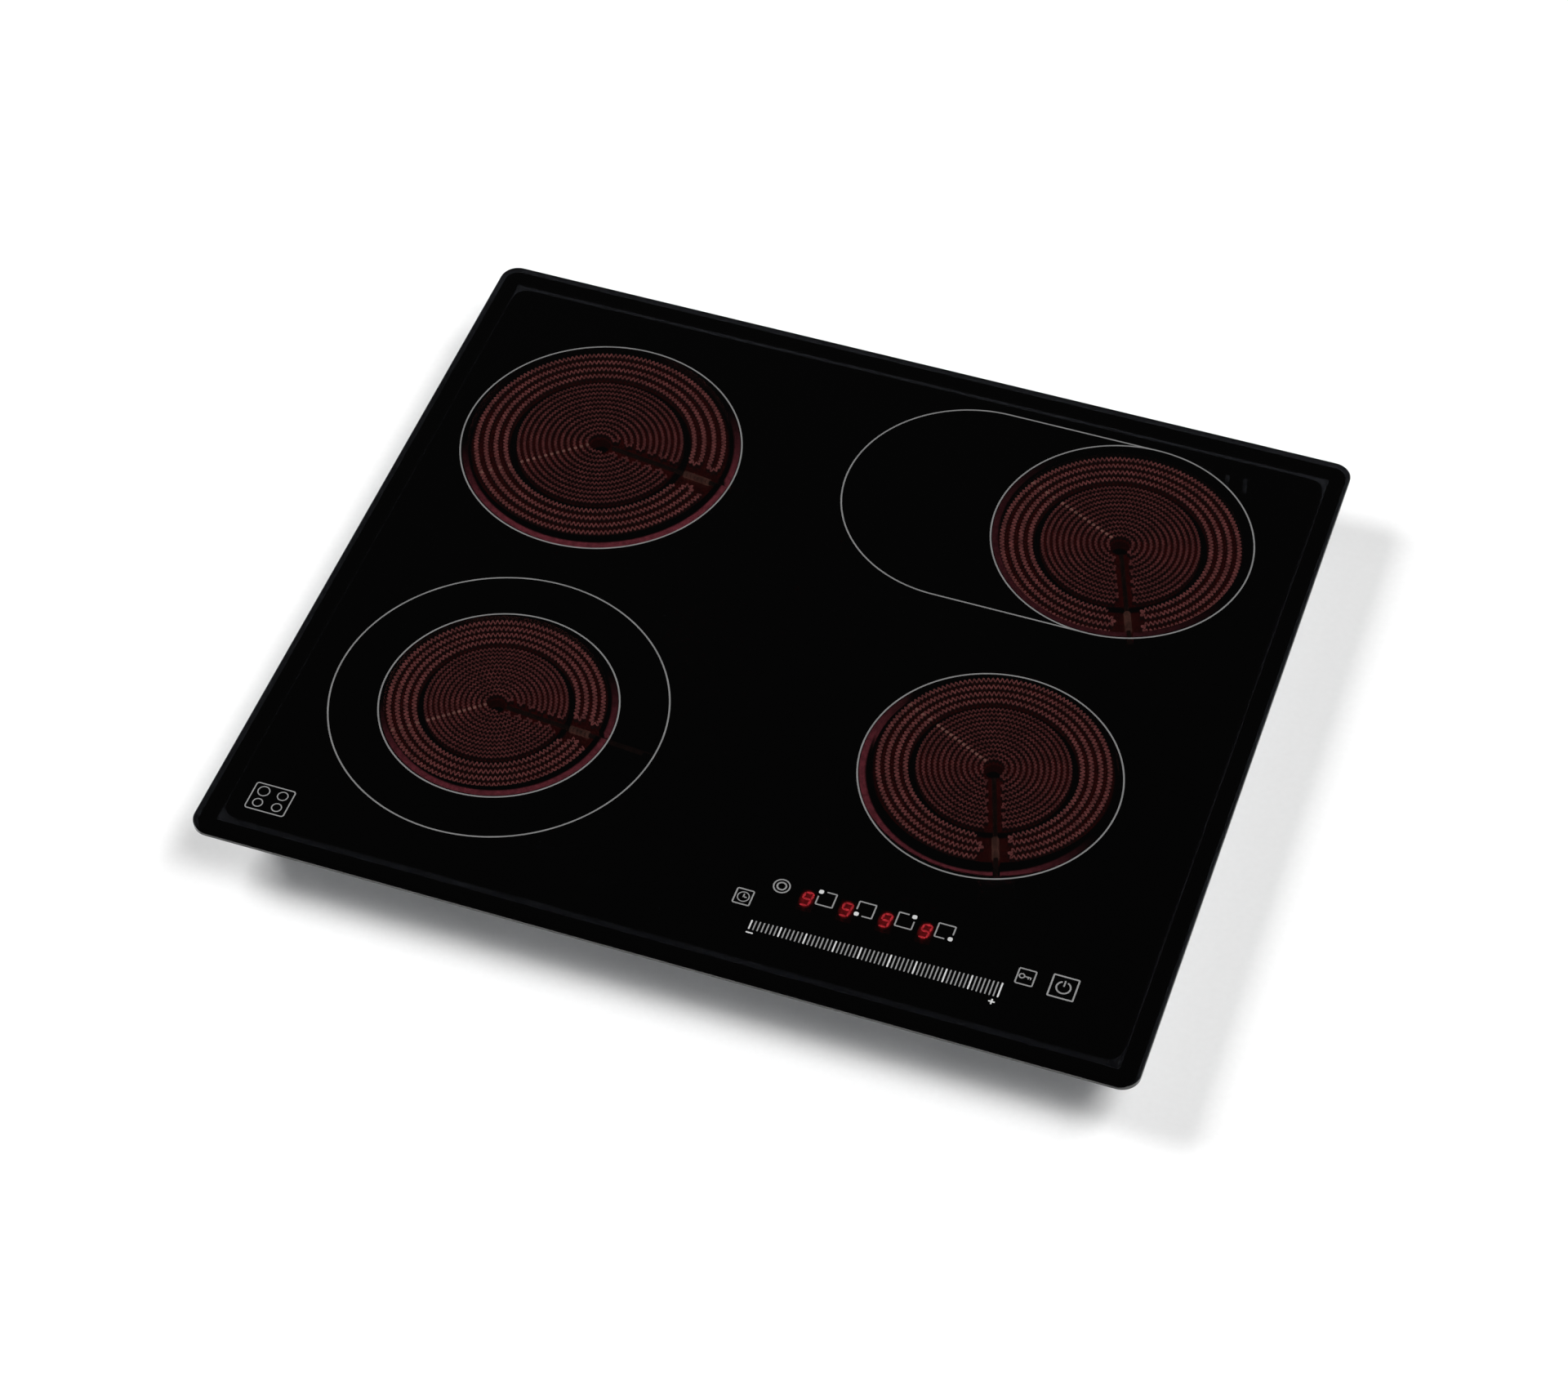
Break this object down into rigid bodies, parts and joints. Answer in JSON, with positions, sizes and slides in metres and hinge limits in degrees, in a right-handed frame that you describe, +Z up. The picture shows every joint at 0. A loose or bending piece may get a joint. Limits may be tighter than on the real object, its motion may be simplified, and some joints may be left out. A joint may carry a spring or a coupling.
{
  "type": "radiant cooking hob",
  "caption": "Built-in black glass-ceramic hob: round, two-ring and oval radiant zones, touch slider, shallow steel pan with swivelling clamps and a rear terminal box.",
  "frame": {"origin": "on the surface that the feet stand on, under the middle of the glass", "axes": "+X to the cook's right along the long side of the glass, +Y to the back, +Z up; the cook stands at -Y"},
  "size_m": [0.59, 0.52, 0.054],
  "materials": {
    "ceramic_glass": "polished black ceramic glass",
    "seal_foam": "black foam tape",
    "silicone": "smooth black silicone",
    "pan_steel": "galvanised sheet",
    "dish_steel": "aluminised sheet",
    "insulation": "matt microporous board",
    "heating_ribbon": "oxidised resistance ribbon",
    "quartz_rod": "smooth rod with ceramic beads",
    "ceramic_head": "unglazed steatite",
    "spring_steel": "blued spring steel",
    "screw_steel": "zinc plated",
    "clamp_steel": "zinc plated",
    "black_plastic": "moulded black plastic",
    "circuit_board": "green board",
    "contact_foam": "conductive foam",
    "display_red": "tinted display",
    "component_plastic": "moulded component cases",
    "terminal_ceramic": "off-white moulded",
    "bush_rubber": "soft rubber",
    "lead_sleeve": "silicone sleeve"
  },
  "bodies": {
    "hob": {"base_pan": "pan_steel", "board_parts": "component_plastic", "board_standoffs": "black_plastic", "cable_bush": "bush_rubber", "clamp_screws": "screw_steel", "cover_hinge_pin": "screw_steel", "digit_displays": "display_red", "earth_screw": "screw_steel", "glass_panel": "ceramic_glass", "glass_seal": "seal_foam", "internal_leads": "lead_sleeve", "leaf_springs_front_left": "spring_steel", "leaf_springs_front_right": "spring_steel", "leaf_springs_rear_left": "spring_steel", "leaf_springs_rear_right": "spring_steel", "power_board": "circuit_board", "power_relays": "component_plastic", "silicone_bond": "silicone", "terminal_block": "terminal_ceramic", "terminal_box": "black_plastic", "terminal_screws": "screw_steel", "touch_board": "circuit_board", "touch_carrier": "black_plastic", "touch_springs": "contact_foam"},
    "heater_rear_left": {"core_element_rear_left": "heating_ribbon", "heater_dish_rear_left": "dish_steel", "insulation_base_rear_left": "insulation", "insulation_wall_rear_left": "insulation", "limiter_head_rear_left": "ceramic_head", "limiter_rod_rear_left": "quartz_rod", "rim_element_rear_left": "heating_ribbon"},
    "heater_front_left": {"core_element_front_left": "heating_ribbon", "dual_element_front_left": "heating_ribbon", "heater_dish_front_left": "dish_steel", "insulation_base_front_left": "insulation", "insulation_wall_front_left": "insulation", "limiter_head_front_left": "ceramic_head", "limiter_rod_front_left": "quartz_rod", "rim_element_front_left": "heating_ribbon"},
    "heater_front_right": {"core_element_front_right": "heating_ribbon", "heater_dish_front_right": "dish_steel", "insulation_base_front_right": "insulation", "insulation_wall_front_right": "insulation", "limiter_head_front_right": "ceramic_head", "limiter_rod_front_right": "quartz_rod", "rim_element_front_right": "heating_ribbon"},
    "heater_rear_right": {"core_element_rear_right": "heating_ribbon", "heater_dish_rear_right": "dish_steel", "insulation_base_rear_right": "insulation", "insulation_wall_rear_right": "insulation", "limiter_head_rear_right": "ceramic_head", "limiter_rod_rear_right": "quartz_rod", "oval_element_rear_right": "heating_ribbon", "rim_element_rear_right": "heating_ribbon"},
    "clamp_arm_rear_left": {"clamp_rear_left": "clamp_steel"},
    "clamp_arm_front_left": {"clamp_front_left": "clamp_steel"},
    "clamp_arm_front_right": {"clamp_front_right": "clamp_steel"},
    "clamp_arm_rear_right": {"clamp_rear_right": "clamp_steel"},
    "cover": {"terminal_cover": "black_plastic"}
  },
  "joints": [
    {"name": "heater_float_rear_left", "type": "slide", "parent": "hob", "child": "heater_rear_left", "axis": [0, 0, 1], "range_m": [-0.003, 0], "stiffness_N_per_m": 6000, "springref_m": 0.006, "deforming": ["leaf_springs_rear_left"]},
    {"name": "heater_float_front_left", "type": "slide", "parent": "hob", "child": "heater_front_left", "axis": [0, 0, 1], "range_m": [-0.003, 0], "stiffness_N_per_m": 6000, "springref_m": 0.006, "deforming": ["leaf_springs_front_left"]},
    {"name": "heater_float_front_right", "type": "slide", "parent": "hob", "child": "heater_front_right", "axis": [0, 0, 1], "range_m": [-0.003, 0], "stiffness_N_per_m": 6000, "springref_m": 0.006, "deforming": ["leaf_springs_front_right"]},
    {"name": "heater_float_rear_right", "type": "slide", "parent": "hob", "child": "heater_rear_right", "axis": [0, 0, 1], "range_m": [-0.003, 0], "stiffness_N_per_m": 6000, "springref_m": 0.006, "deforming": ["leaf_springs_rear_right"]},
    {"name": "clamp_turn_rear_left", "type": "hinge", "parent": "hob", "child": "clamp_arm_rear_left", "pos_m": [-0.256, 0.15, 0.0044], "axis": [0, 0, 1], "range_deg": [0, 90]},
    {"name": "clamp_turn_front_left", "type": "hinge", "parent": "hob", "child": "clamp_arm_front_left", "pos_m": [-0.256, -0.14, 0.0044], "axis": [0, 0, 1], "range_deg": [0, 90]},
    {"name": "clamp_turn_front_right", "type": "hinge", "parent": "hob", "child": "clamp_arm_front_right", "pos_m": [0.256, -0.14, 0.0044], "axis": [0, 0, -1], "range_deg": [0, 90]},
    {"name": "clamp_turn_rear_right", "type": "hinge", "parent": "hob", "child": "clamp_arm_rear_right", "pos_m": [0.256, 0.15, 0.0044], "axis": [0, 0, -1], "range_deg": [0, 90]},
    {"name": "cover_hinge", "type": "hinge", "parent": "hob", "child": "cover", "pos_m": [-0.05, 0.24, 0.0096], "axis": [-1, 0, 0], "range_deg": [0, 95]}
  ]
}
